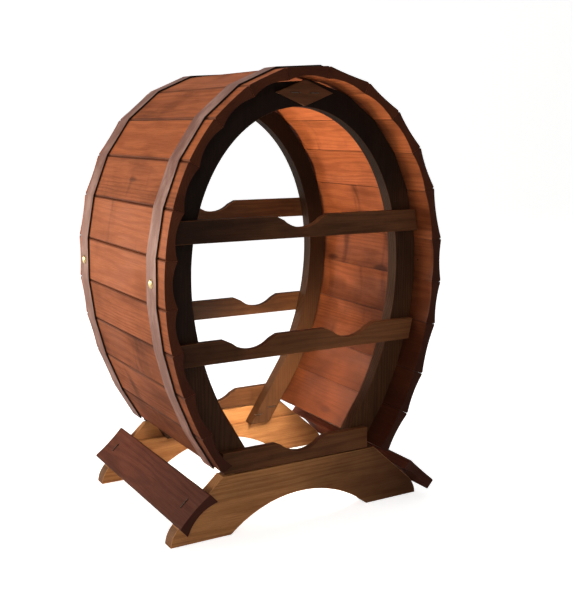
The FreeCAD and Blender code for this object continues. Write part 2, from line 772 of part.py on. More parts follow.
def build_plates():
    """Build the rhombic plates over the ring joints, and their staples."""
    half_length = size_of("stave_length") / 2
    thickness = size_of("plate_thickness")
    joint = size_of("ring_joint_offset")
    ring_middle = centre_height() + size_of("oval_half_height")
    ring_middle -= size_of("stave_thickness") + size_of("front_ring_width") / 2
    spread = size_of("plate_staple_spacing") / 2
    plates = (
        ("front", size_of("front_overhang") - half_length, -1),
        ("rear", half_length - size_of("rear_overhang"), 1),
    )
    for name, ring_face, outward in plates:
        body = new_body(f"{name}_top_plate")
        face = new_sketch(body, f"{body.Name}_face", "XZ_Plane")
        corners = (
            ("-Sizes.plate_half_width", "0"),
            ("0", "-Sizes.plate_half_height"),
            ("Sizes.plate_half_width", "0"),
            ("0", "Sizes.plate_half_height"),
        )
        add_outline(face, corners)
        pad(body, face, "Sizes.plate_thickness")
        holes = new_sketch(body, f"{body.Name}_staple_holes", "XZ_Plane")
        for side in ("-", ""):
            add_staple_holes(holes, f"{side}Sizes.plate_staple_spacing / 2", "0")
        cut_through(body, holes, "staple_holes")
        middle = ring_face + outward * thickness / 2
        body.Placement = Placement(Vector(joint, middle, ring_middle), Rotation())
        spots = [
            Vector(joint + side * spread, ring_face + outward * thickness, ring_middle)
            for side in (-1, 1)
        ]
        staple_group(f"{name}_plate_staples", spots, Rotation(Vector(0, 0, 1), Vector(0, outward, 0)))


def build_leg_staples(seams, directions):
    """Build the staples on the front faces of the rear legs."""
    face = size_of("stave_length") / 2 - size_of("rear_overhang") - size_of("ring_thickness")
    spots = []
    for side in (-1, 1):
        for spot in leg_staple_spots(seams, directions, side):
            spots.append(spot + Vector(0, face, 0))
    staple_group("rear_leg_staples", spots, Rotation(Vector(0, 0, 1), Vector(0, -1, 0)))


def build_slat_staples():
    """Build the staples at the ends of the two slats."""
    reach = size_of("stave_length") / 2 - size_of("slat_staple_inset")
    for name, side in (("left", -1), ("right", 1)):
        place = slat_placement(side, f"{name}_slat_offset")
        spots = [place.multVec(Vector(0, end * reach, 0)) for end in (-1, 1)]
        staple_group(f"{name}_slat_staples", spots, place.Rotation)


# ---------------------------------------------------------------- check and write

def check_document():
    """Stop if any object failed or any piece is not a valid solid."""
    for item in doc.Objects:
        for state in ("Invalid", "Error"):
            if state in item.State:
                raise RuntimeError(f"{item.Name} is {state}")
    for piece in parts:
        shape = piece.Shape
        if shape.isNull() or not shape.isValid() or not shape.Solids:
            raise RuntimeError(f"{piece.Label} has no valid solid")


def write_parts():
    """Write every piece to its own STEP file."""
    os.makedirs("parts", exist_ok=True)
    for piece in parts:
        piece.Shape.exportStep(os.path.join("parts", f"{piece.Label}.step"))
        print(f"{piece.Label}: {len(piece.Shape.Solids)} solid(s), {piece.Shape.Volume:.0f} mm3")


def main():
    """Build the whole rack."""
    fill_sizes()
    seams = seam_angles()
    directions = stave_directions(seams)
    add_layout("base_top_half", oval_point(seams[-1]).x - size_of("base_top_inset"))
    build_staves(seams, directions)
    build_rings(seams, directions)
    build_rails(seams, directions)
    build_base()
    build_slats()
    build_hoops(seams, directions)
    build_plates()
    build_leg_staples(seams, directions)
    build_slat_staples()
    doc.recompute()
    check_document()
    write_parts()


main()
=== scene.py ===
"""Looks of the barrel wine rack: stained pine boards, satin straps, brass tacks and a soft studio.

Every wooden node is shown by a copy whose sharp edges are eased, with its own run of grain.
Lengths are in metres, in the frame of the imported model.
"""
import logging
import math
import random
from dataclasses import dataclass, field
from enum import Enum

import bmesh
import bpy
from mathutils import Matrix, Vector


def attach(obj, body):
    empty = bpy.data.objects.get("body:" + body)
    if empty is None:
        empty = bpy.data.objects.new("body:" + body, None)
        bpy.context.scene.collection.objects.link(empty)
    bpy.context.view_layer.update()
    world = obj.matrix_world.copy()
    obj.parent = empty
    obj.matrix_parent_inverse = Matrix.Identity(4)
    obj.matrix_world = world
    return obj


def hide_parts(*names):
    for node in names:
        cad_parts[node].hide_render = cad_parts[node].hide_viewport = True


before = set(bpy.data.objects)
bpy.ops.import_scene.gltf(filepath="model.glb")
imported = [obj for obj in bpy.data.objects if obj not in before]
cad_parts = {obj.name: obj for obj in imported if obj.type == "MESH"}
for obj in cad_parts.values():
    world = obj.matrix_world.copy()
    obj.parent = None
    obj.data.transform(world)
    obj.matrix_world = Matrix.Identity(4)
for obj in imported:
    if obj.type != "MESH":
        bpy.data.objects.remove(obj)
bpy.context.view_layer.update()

LOG = logging.getLogger("wine_rack")
ROOT = "root"
UP = Vector((0.0, 0.0, 1.0))
MERGE = 1e-6
FLAT_ANGLE = math.radians(0.6)
SHADING_ANGLE = math.radians(32.0)
TACK_SHADING_ANGLE = math.radians(50.0)
END_FACING = 0.75
WANDER_SCALE = (5.0, 26.0, 26.0)
WANDER_REACH = (0.011, 0.011, 0.011)
FIBRE_SCALE = (26.0, 950.0, 950.0)
FLECK_SCALE = (150.0, 2600.0, 2600.0)
BLOTCH_SCALE = (8.0, 22.0, 22.0)
BAR_SCALE = (21.0, 5.0, 5.0)
KNOT_SCALE = (9.0, 24.0, 24.0)
# Clouds that make the border of the painted shade across the rack wander.
SHADE_FALL_CLOUD_SCALE = (14.0, 14.0, 14.0)
SHADE_FALL_CLOUD_REACH = 0.6
Colour = tuple[float, float, float]
Scale = tuple[float, float, float]


def stain(red: int, green: int, blue: int) -> Colour:
    """Turn a display colour into the linear colour that shaders use.

    Args:
        red: Red from 0 to 255.
        green: Green from 0 to 255.
        blue: Blue from 0 to 255.

    Returns:
        The linear colour.
    """
    return tuple(((level / 255.0 + 0.055) / 1.055) ** 2.4 for level in (red, green, blue))


class Run(Enum):
    """Which way a board's grain runs."""

    DEPTH = "from front to rear"
    WIDTH = "from left to right"
    HEIGHT = "from floor to top"


# ------------------------------------------------------------------ shader graph


class Graph:
    """A node tree under construction, with short ways to add and join nodes."""

    def __init__(self, name: str) -> None:
        """Start an empty material.

        Args:
            name: The material's name.
        """
        self.material = bpy.data.materials.new(name)
        self.material.use_nodes = True
        self.tree = self.material.node_tree
        self.tree.nodes.clear()

    def add(self, kind: str, inputs: dict | None = None, **settings: object) -> bpy.types.Node:
        """Add a node.

        Args:
            kind: The node's type name.
            inputs: Values or sockets for its inputs, by name or number.
            **settings: Properties of the node itself.

        Returns:
            The new node.
        """
        node = self.tree.nodes.new(kind)
        for name, setting in settings.items():
            setattr(node, name, setting)
        for key, value in (inputs or {}).items():
            if isinstance(value, bpy.types.NodeSocket):
                self.tree.links.new(value, node.inputs[key])
            else:
                node.inputs[key].default_value = value
        return node

    def attribute(self, name: str) -> bpy.types.Node:
        """Read a mesh attribute.

        Args:
            name: The attribute's name.

        Returns:
            The node that reads it.
        """
        return self.add("ShaderNodeAttribute", attribute_name=name)

    def math(self, operation: str, *values: object) -> bpy.types.NodeSocket:
        """Work out a number.

        Args:
            operation: The operation's name.
            *values: Numbers or sockets.

        Returns:
            The result's socket.
        """
        return self.add("ShaderNodeMath", dict(enumerate(values)), operation=operation).outputs[0]

    def scaled(self, vector: bpy.types.NodeSocket, scale: Scale) -> bpy.types.NodeSocket:
        """Stretch a vector along its axes.

        Args:
            vector: The vector's socket.
            scale: The stretch along each axis.

        Returns:
            The stretched vector's socket.
        """
        node = self.add("ShaderNodeVectorMath", {0: vector, 1: scale}, operation="MULTIPLY")
        return node.outputs[0]

    def noise(self, vector: bpy.types.NodeSocket, scale: Scale, detail: float = 2.0,
              roughness: float = 0.5) -> bpy.types.NodeSocket:
        """Make cloudy noise.

        Args:
            vector: Where to read the noise.
            scale: Lumps per metre along each axis.
            detail: How many finer layers it has.
            roughness: How strong the finer layers are.

        Returns:
            A number from 0 to 1.
        """
        inputs = {"Vector": self.scaled(vector, scale), "Scale": 1.0,
                  "Detail": detail, "Roughness": roughness}
        return self.add("ShaderNodeTexNoise", inputs).outputs["Fac"]

    def step(self, value: bpy.types.NodeSocket, low: float, high: float,
             out_low: float = 0.0, out_high: float = 1.0) -> bpy.types.NodeSocket:
        """Rise smoothly from one value to another as a number crosses a range.

        Args:
            value: The number's socket.
            low: Where the rise starts.
            high: Where the rise ends.
            out_low: The result before the rise.
            out_high: The result after the rise.

        Returns:
            The result's socket.
        """
        inputs = {"Value": value, "From Min": low, "From Max": high,
                  "To Min": out_low, "To Max": out_high}
        node = self.add("ShaderNodeMapRange", inputs, interpolation_type="SMOOTHSTEP")
        return node.outputs["Result"]

    def blend(self, factor: object, first: object, second: object,
              how: str = "MIX") -> bpy.types.NodeSocket:
        """Blend two colours.

        Args:
            factor: How much of the second colour shows.
            first: The first colour or socket.
            second: The second colour or socket.
            how: The blend type.

        Returns:
            The blended colour's socket.
        """
        node = self.add("ShaderNodeMix", data_type="RGBA", blend_type=how)
        for index, value in ((0, factor), (6, first), (7, second)):
            if isinstance(value, bpy.types.NodeSocket):
                self.tree.links.new(value, node.inputs[index])
            elif index == 0:
                node.inputs[index].default_value = value
            else:
                node.inputs[index].default_value = (*value, 1.0)
        return node.outputs[2]

    def surface(self, inputs: dict) -> bpy.types.Material:
        """Finish the material with a principled surface.

        Args:
            inputs: Values or sockets of the surface.

        Returns:
            The finished material.
        """
        shader = self.add("ShaderNodeBsdfPrincipled", inputs)
        self.add("ShaderNodeOutputMaterial", {"Surface": shader.outputs["BSDF"]})
        return self.material


# ------------------------------------------------------------------ finishes


@dataclass(frozen=True)
class StainedPine:
    """Stained and lightly varnished pine, with growth rings, fibres, smudges and knots, and with
    painted shade and highlights on its ends, edges and across the rack.
    """

    name: str
    slot: str
    pale: Colour
    ring: Colour
    # Dark stain of the flecks, blotches, smudges, knots and darker boards, also the colour of the
    # painted shade.
    dark_stain_and_shade: Colour
    ring_spacing: float = 0.0034
    ring_strength: float = 0.45
    blotch: float = 0.35
    smudge: float = 0.35
    knot: float = 0.8
    # Strength of the painted shade on the end faces.
    painted_end_shade: float = 0.62
    # Strength of the painted shade on the eased edges.
    painted_edge_shade: float = 0.35
    # Strength of the painted highlight on the eased edges.
    painted_edge_highlight: float = 0.0
    roughness: float = 0.6
    # Painted shade across the rack: its start, its end, and its strength at each.
    painted_shade_fall: tuple[Vector, Vector, float, float] | None = None

    def add_painted_shade_fall(self, graph: Graph, colour: bpy.types.NodeSocket) -> bpy.types.NodeSocket:
        """Paint shade that deepens from one place on the rack to another.

        Args:
            graph: The material's graph.
            colour: The colour so far.

        Returns:
            The colour with the painted shade in it.
        """
        start, end, low, high = self.painted_shade_fall
        way = end - start
        place = graph.add("ShaderNodeTexCoord").outputs["Object"]
        from_start = graph.add("ShaderNodeVectorMath", {0: place, 1: tuple(start)},
                               operation="SUBTRACT").outputs[0]
        share = graph.add("ShaderNodeVectorMath",
                          {0: from_start, 1: tuple(way / way.length_squared)},
                          operation="DOT_PRODUCT").outputs["Value"]
        cloud = graph.noise(place, SHADE_FALL_CLOUD_SCALE, 3.0)
        drift = graph.math("MULTIPLY", graph.math("SUBTRACT", cloud, 0.5), SHADE_FALL_CLOUD_REACH)
        moved = graph.math("ADD", share, drift)
        return graph.blend(graph.step(moved, 0.0, 1.0, low, high), colour, self.dark_stain_and_shade)

    def pattern(self, graph: Graph) -> dict[str, bpy.types.NodeSocket]:
        """Lay the rings, fibres, smudges and knots along the board.

        Args:
            graph: The material's graph.

        Returns:
            The strength of each feature, by its name.
        """
        grain = graph.attribute("grain").outputs["Vector"]
        wander = graph.add("ShaderNodeTexNoise", {
            "Vector": graph.scaled(grain, WANDER_SCALE), "Scale": 1.0, "Detail": 2.0})
        shifted = graph.add("ShaderNodeVectorMath", {
            0: wander.outputs["Color"], 1: WANDER_REACH, 2: grain},
            operation="MULTIPLY_ADD").outputs[0]
        across = graph.scaled(shifted, (0.0, 1.0, 1.0))
        reach = graph.add("ShaderNodeVectorMath", {0: across}, operation="LENGTH").outputs["Value"]
        wave = graph.math("SINE", graph.math("MULTIPLY", reach, 2.0 * math.pi / self.ring_spacing))
        knots = graph.add("ShaderNodeTexVoronoi", {
            "Vector": graph.scaled(shifted, KNOT_SCALE), "Scale": 1.0, "Randomness": 1.0})
        chosen = graph.step(graph.add("ShaderNodeSeparateColor", {
            0: knots.outputs["Color"]}).outputs[0], 0.80, 0.82)
        near = graph.step(knots.outputs["Distance"], 0.20, 0.10)
        return {
            "rings": graph.step(wave, -0.3, 0.95),
            "fibre": graph.noise(grain, FIBRE_SCALE, 3.0, 0.6),
            "fleck": graph.noise(grain, FLECK_SCALE, 2.0),
            "blotch": graph.noise(grain, BLOTCH_SCALE, 4.0, 0.55),
            "bar": graph.noise(shifted, BAR_SCALE, 3.0, 0.6),
            "knot": graph.math("MULTIPLY", near, chosen),
        }

    def stained(self, graph: Graph,
                pattern: dict[str, bpy.types.NodeSocket]) -> bpy.types.NodeSocket:
        """Colour the pattern, and paint shade on the board's ends and edges, highlights on its
        edges and a shade that deepens across the rack.

        Args:
            graph: The material's graph.
            pattern: The strength of each feature.

        Returns:
            The colour's socket.
        """
        tone = graph.attribute("tone").outputs["Fac"]
        end = graph.attribute("end").outputs["Fac"]
        rim = graph.attribute("rim").outputs["Fac"]
        ringed = graph.math("MULTIPLY", pattern["rings"], self.ring_strength)
        fibre = graph.step(pattern["fibre"], 0.35, 0.75, 0.0, 0.55)
        coats = (
            (graph.step(pattern["fleck"], 0.58, 0.75, 0.0, 0.35), self.dark_stain_and_shade),
            (graph.step(pattern["blotch"], 0.42, 0.72, 0.0, self.blotch), self.dark_stain_and_shade),
            (graph.step(pattern["bar"], 0.58, 0.72, 0.0, self.smudge), self.dark_stain_and_shade),
            (graph.math("MULTIPLY", pattern["knot"], self.knot), self.dark_stain_and_shade),
            (graph.step(tone, 0.0, 1.0, 0.34, 0.0), self.dark_stain_and_shade),
            (graph.step(tone, 0.5, 1.0, 0.0, 0.28), self.pale),
        )
        colour = graph.blend(ringed, self.pale, self.ring)
        colour = graph.blend(fibre, colour, self.ring)
        for strength, stain_colour in coats:
            colour = graph.blend(strength, colour, stain_colour)
        # Painted shade that deepens across the rack.
        if self.painted_shade_fall:
            colour = self.add_painted_shade_fall(graph, colour)
        # Painted shade on the end faces.
        colour = graph.blend(graph.math("MULTIPLY", end, self.painted_end_shade), colour, self.dark_stain_and_shade)
        # Painted shade on the eased edges.
        colour = graph.blend(graph.math("MULTIPLY", rim, self.painted_edge_shade), colour, self.dark_stain_and_shade)
        # Painted highlight on the eased edges.
        return graph.blend(graph.math("MULTIPLY", rim, self.painted_edge_highlight), colour, self.pale)

    def material(self) -> bpy.types.Material:
        """Build the wood's material.

        Returns:
            The material.
        """
        graph = Graph(self.name)
        pattern = self.pattern(graph)
        fibre = pattern["fibre"]
        height = graph.math("ADD", graph.math("MULTIPLY", pattern["rings"], 0.5), fibre)
        bump = graph.add("ShaderNodeBump", {
            "Strength": 0.35, "Distance": 0.0005, "Height": height}).outputs["Normal"]
        wear = graph.math("ADD", graph.math("MULTIPLY", fibre, 0.6), pattern["blotch"])
        rough = graph.step(wear, 0.4, 1.2, self.roughness - 0.1, self.roughness + 0.16)
        return graph.surface({"Base Color": self.stained(graph, pattern), "Roughness": rough,
                              "Normal": bump, "Specular IOR Level": 0.12})


@dataclass(frozen=True)
class StrapPaint:
    """Satin paint of a steel strap, worn in clouds and streaks, with painted shade on its side
    faces.
    """

    name: str = "satin_strap"
    slot: str = "hoop_strap"
    paint: Colour = stain(128, 84, 70)
    scuff: Colour = stain(214, 178, 166)
    # Dark colour of the specks, also used for the painted shade on the strap's side faces.
    rim: Colour = stain(30, 20, 17)

    def material(self) -> bpy.types.Material:
        """Build the strap's material.

        Returns:
            The material.
        """
        graph = Graph(self.name)
        place = graph.add("ShaderNodeTexCoord").outputs["Object"]
        end = graph.attribute("end").outputs["Fac"]
        cloud = graph.noise(place, (30.0, 60.0, 30.0), 4.0, 0.6)
        scratch = graph.noise(place, (45.0, 1400.0, 45.0), 3.0, 0.6)
        speck = graph.noise(place, (900.0, 900.0, 900.0), 2.0)
        colour = graph.blend(graph.step(cloud, 0.4, 0.75, 0.0, 0.4), self.paint, self.scuff)
        colour = graph.blend(graph.step(scratch, 0.5, 0.8, 0.0, 0.4), colour, self.scuff)
        colour = graph.blend(graph.step(speck, 0.66, 0.8, 0.0, 0.5), colour, self.rim)
        # Painted shade: the strap's front and rear side faces take the dark colour.
        colour = graph.blend(end, colour, self.rim)
        rough = graph.step(graph.math("ADD", cloud, scratch), 0.6, 1.4, 0.42, 0.62)
        bump = graph.add("ShaderNodeBump", {
            "Strength": 0.15, "Distance": 0.0003, "Height": scratch}).outputs["Normal"]
        return graph.surface({"Base Color": colour, "Roughness": rough, "Normal": bump,
                              "Metallic": 0.2, "Specular IOR Level": 0.3})


@dataclass(frozen=True)
class WornMetal:
    """Metal of a tack or a staple, rubbed bright in places and dull in others."""

    name: str
    slot: str
    bright: Colour
    dull: Colour
    roughness: float = 0.3

    def material(self) -> bpy.types.Material:
        """Build the metal's material.

        Returns:
            The material.
        """
        graph = Graph(self.name)
        place = graph.add("ShaderNodeTexCoord").outputs["Object"]
        cloud = graph.noise(place, (420.0, 420.0, 420.0), 4.0, 0.65)
        pits = graph.noise(place, (2600.0, 2600.0, 2600.0), 2.0)
        colour = graph.blend(graph.step(cloud, 0.42, 0.7), self.bright, self.dull)
        rough = graph.step(cloud, 0.3, 0.75, self.roughness - 0.08, self.roughness + 0.2)
        bump = graph.add("ShaderNodeBump", {
            "Strength": 0.2, "Distance": 0.0001, "Height": pits}).outputs["Normal"]
        return graph.surface({"Base Color": colour, "Roughness": rough, "Normal": bump,
                              "Metallic": 1.0})


# ------------------------------------------------------------------ board copies


@dataclass
class Eased:
    """A copy of a CAD node with eased edges and the attributes that its finish reads."""

    node: str
    run: Run
    ease: float = 0.0006
    segments: int = 2
    sharp: float = math.radians(28.0)

    def axes(self, mesh: bpy.types.Mesh) -> tuple[Vector, Vector, Vector]:
        """Find the board's own directions.

        Args:
            mesh: The board's mesh.

        Returns:
            The directions along the grain, across the board and through it.
        """
        if self.run is Run.WIDTH:
            return Vector((1, 0, 0)), Vector((0, 0, 1)), Vector((0, -1, 0))
        if self.run is Run.HEIGHT:
            return Vector((0, 0, 1)), Vector((1, 0, 0)), Vector((0, -1, 0))
        points = [Vector((vertex.co.x, vertex.co.z)) for vertex in mesh.vertices]
        middle = sum(points, Vector((0.0, 0.0))) / len(points)
        spread_x = sum((point.x - middle.x) ** 2 for point in points)
        spread_z = sum((point.y - middle.y) ** 2 for point in points)
        shared = sum((point.x - middle.x) * (point.y - middle.y) for point in points)
        turn = 0.5 * math.atan2(2.0 * shared, spread_x - spread_z)
        across = Vector((math.cos(turn), 0.0, math.sin(turn)))
        through = Vector((-math.sin(turn), 0.0, math.cos(turn)))
        return Vector((0, 1, 0)), across, through

    def eased_mesh(self, source: bpy.types.Mesh, name: str) -> bpy.types.Mesh:
        """Copy a mesh, join its flat triangles and ease its sharp edges.

        Args:
            source: The CAD node's mesh.
            name: The new mesh's name.

        Returns:
            The new mesh.
        """
        shape = bmesh.new()
        shape.from_mesh(source)
        bmesh.ops.remove_doubles(shape, verts=shape.verts, dist=MERGE)
        bmesh.ops.dissolve_limit(shape, angle_limit=FLAT_ANGLE, use_dissolve_boundaries=False,
                                 verts=shape.verts, edges=shape.edges)
        edges = [edge for edge in shape.edges
                 if len(edge.link_faces) == 2 and edge.calc_face_angle(0.0) > self.sharp]
        bmesh.ops.bevel(shape, geom=edges, offset=self.ease, offset_type="OFFSET",
                        segments=self.segments, profile=0.5, affect="EDGES", material=-1,
                        clamp_overlap=True)
        mesh = bpy.data.meshes.new(name)
        shape.to_mesh(mesh)
        shape.free()
        mesh.materials.clear()
        return mesh

    def dress(self, mesh: bpy.types.Mesh) -> None:
        """Write the grain's place, the board's tone and its end and rim masks.

        Args:
            mesh: The board's mesh.
        """
        chance = random.Random(self.node)
        along, across, through = self.axes(mesh)
        spots = [vertex.co.copy() for vertex in mesh.vertices]
        low = Vector((min(spot.dot(axis) for spot in spots) for axis in (along, across, through)))
        high = Vector((max(spot.dot(axis) for spot in spots) for axis in (along, across, through)))
        middle = (low + high) / 2.0
        pith = Vector((chance.uniform(0.0, 9.0), chance.uniform(-0.024, 0.024),
                       chance.choice((-1.0, 1.0)) * chance.uniform(0.022, 0.06)))
        grain = mesh.attributes.new("grain", "FLOAT_VECTOR", "POINT")
        for index, spot in enumerate(spots):
            local = Vector((spot.dot(along), spot.dot(across), spot.dot(through)))
            grain.data[index].vector = local - middle + pith
        tone = mesh.attributes.new("tone", "FLOAT", "POINT")
        tone.data.foreach_set("value", [chance.random()] * len(spots))
        end = mesh.attributes.new("end", "FLOAT", "FACE")
        end.data.foreach_set("value", [
            1.0 if abs(face.normal.dot(along)) > END_FACING else 0.0 for face in mesh.polygons])
        rim = mesh.attributes.new("rim", "FLOAT", "FACE")
        small = self.ease * 1.2
        rim.data.foreach_set("value", [
            1.0 if self.is_rim(mesh, face, small) else 0.0 for face in mesh.polygons])

    def is_rim(self, mesh: bpy.types.Mesh, face: bpy.types.MeshPolygon, small: float) -> bool:
        """Say whether a face is part of an eased edge: a narrow strip beside a long side.

        Args:
            mesh: The board's mesh.
            face: One of its faces.
            small: The width below which a strip counts as narrow.

        Returns:
            True if it is.
        """
        sides = [(mesh.vertices[a].co - mesh.vertices[b].co).length for a, b in face.edge_keys]
        return len(sides) <= 4 and min(sides) < small

    def build(self, finish: object, material: bpy.types.Material) -> bpy.types.Object:
        """Build the piece and let it stand for its CAD node.

        Args:
            finish: Not used.
            material: The finish's material.

        Returns:
            The finished piece.
        """
        name = f"{self.node}_piece"
        mesh = self.eased_mesh(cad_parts[self.node].data, name)
        self.dress(mesh)
        mesh.materials.append(material)
        mesh.shade_smooth()
        mesh.set_sharp_from_angle(angle=SHADING_ANGLE)
        piece = bpy.data.objects.new(name, mesh)
        bpy.context.scene.collection.objects.link(piece)
        weighted = piece.modifiers.new("even_shading", "WEIGHTED_NORMAL")
        weighted.keep_sharp = True
        weighted.weight = 60
        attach(piece, ROOT)
        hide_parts(self.node)
        return piece


def dressed(nodes: list[str], run: Run, finish: object, **sizes: float) -> list[bpy.types.Object]:
    """Build eased copies of several nodes in one finish.

    Args:
        nodes: The CAD nodes.
        run: Which way their grain runs.
        finish: The finish they share.
        **sizes: Sizes passed on to each copy.

    Returns:
        The pieces.
    """
    material = finish.material()
    return [Eased(node, run, **sizes).build(finish, material) for node in nodes]


# ------------------------------------------------------------------ sub-assemblies


@dataclass
class Barrel:
    """The staves round the barrel."""

    count: int = 21
    ease: float = 0.0007
    # Painted shade darkens the staves towards the lower right front, and on their ends and edges.
    finish: StainedPine = StainedPine(
        "stave_pine", "stave_wood", stain(190, 106, 60), stain(144, 72, 38), stain(54, 23, 12),
        blotch=0.45, smudge=0.6, painted_end_shade=0.9, painted_edge_shade=0.55,
        painted_shade_fall=(Vector((0.02, -0.05, 0.40)), Vector((0.17, -0.14, 0.16)), 0.0, 0.93))

    def build(self) -> list[bpy.types.Object]:
        """Build every stave.

        Returns:
            The pieces.
        """
        nodes = [f"stave_{number:02d}" for number in range(1, self.count + 1)]
        return dressed(nodes, Run.DEPTH, self.finish, ease=self.ease)


@dataclass
class RingFrames:
    """The four half rings and the plates over their joints."""

    ends: tuple[str, ...] = ("front", "rear")
    ease: float = 0.0006
    # Painted shade darkens the rings towards the upper left; painted highlight on their edges.
    ring_finish: StainedPine = StainedPine(
        "ring_pine", "ring_wood", stain(104, 66, 40), stain(62, 37, 22), stain(16, 8, 5),
        smudge=0.1, knot=0.0, painted_edge_shade=0.0, painted_edge_highlight=0.25, painted_end_shade=0.2,
        painted_shade_fall=(Vector((0.12, -0.10, 0.12)), Vector((-0.04, 0.02, 0.36)), 0.2, 0.94))
    # Painted highlight on the plates' edges and painted shade on their ends.
    plate_finish: StainedPine = StainedPine(
        "plate_pine", "plate_wood", stain(104, 66, 42), stain(70, 42, 26), stain(30, 17, 10),
        knot=0.0, painted_edge_shade=0.0, painted_edge_highlight=0.8, ring_spacing=0.002)

    def build(self) -> list[bpy.types.Object]:
        """Build the rings and plates.

        Returns:
            The pieces.
        """
        rings = [f"{end}_ring_{side}" for end in self.ends for side in ("left", "right")]
        plates = [f"{end}_top_plate" for end in self.ends]
        pieces = dressed(rings, Run.HEIGHT, self.ring_finish, ease=self.ease)
        return pieces + dressed(plates, Run.WIDTH, self.plate_finish, ease=0.0004)


@dataclass
class BottleRails:
    """The six notched rails."""

    levels: tuple[str, ...] = ("upper", "middle", "lower")
    ease: float = 0.0006
    # Painted shade darkens the rails towards the upper left; painted highlight on their edges.
    finish: StainedPine = StainedPine(
        "rail_pine", "rail_wood", stain(126, 80, 48), stain(86, 50, 29), stain(28, 14, 8),
        smudge=0.25, knot=0.0, painted_edge_shade=0.0, painted_edge_highlight=0.45, painted_end_shade=0.3,
        painted_shade_fall=(Vector((0.08, -0.12, 0.25)), Vector((-0.14, 0.0, 0.34)), 0.0, 0.9))

    def build(self) -> list[bpy.types.Object]:
        """Build the rails of both ends.

        Returns:
            The pieces.
        """
        nodes = [f"{end}_{level}_rail" for end in ("front", "rear") for level in self.levels]
        return dressed(nodes, Run.WIDTH, self.finish, ease=self.ease)


@dataclass
class Cradle:
    """The arched base boards, the tie board and the two slats."""

    ease: float = 0.0007
    # Painted shade darkens the base boards towards the right front; painted highlight on their
    # edges.
    base_finish: StainedPine = StainedPine(
        "base_pine", "base_wood", stain(206, 146, 92), stain(150, 92, 54), stain(62, 32, 18),
        blotch=0.25, smudge=0.0, knot=0.0, ring_strength=0.4, painted_edge_shade=0.0, painted_edge_highlight=0.5,
        painted_shade_fall=(Vector((-0.04, 0.0, 0.04)), Vector((0.19, -0.12, 0.02)), 0.0, 0.86))
    # Painted shade darkens the slats towards the front end, and on their ends and edges.
    slat_finish: StainedPine = StainedPine(
        "slat_pine", "slat_wood", stain(140, 76, 52), stain(98, 48, 32), stain(46, 19, 13),
        smudge=0.1, knot=0.0, painted_end_shade=0.6,
        painted_shade_fall=(Vector((0.0, 0.10, 0.05)), Vector((0.0, -0.15, 0.05)), 0.0, 0.5))

    def build(self) -> list[bpy.types.Object]:
        """Build the boards and slats.

        Returns:
            The pieces.
        """
        boards = ["front_base_board", "rear_base_board", "rear_tie_board"]
        pieces = dressed(boards, Run.WIDTH, self.base_finish, ease=self.ease)
        slats = ["left_slat", "right_slat"]
        return pieces + dressed(slats, Run.DEPTH, self.slat_finish, ease=self.ease)


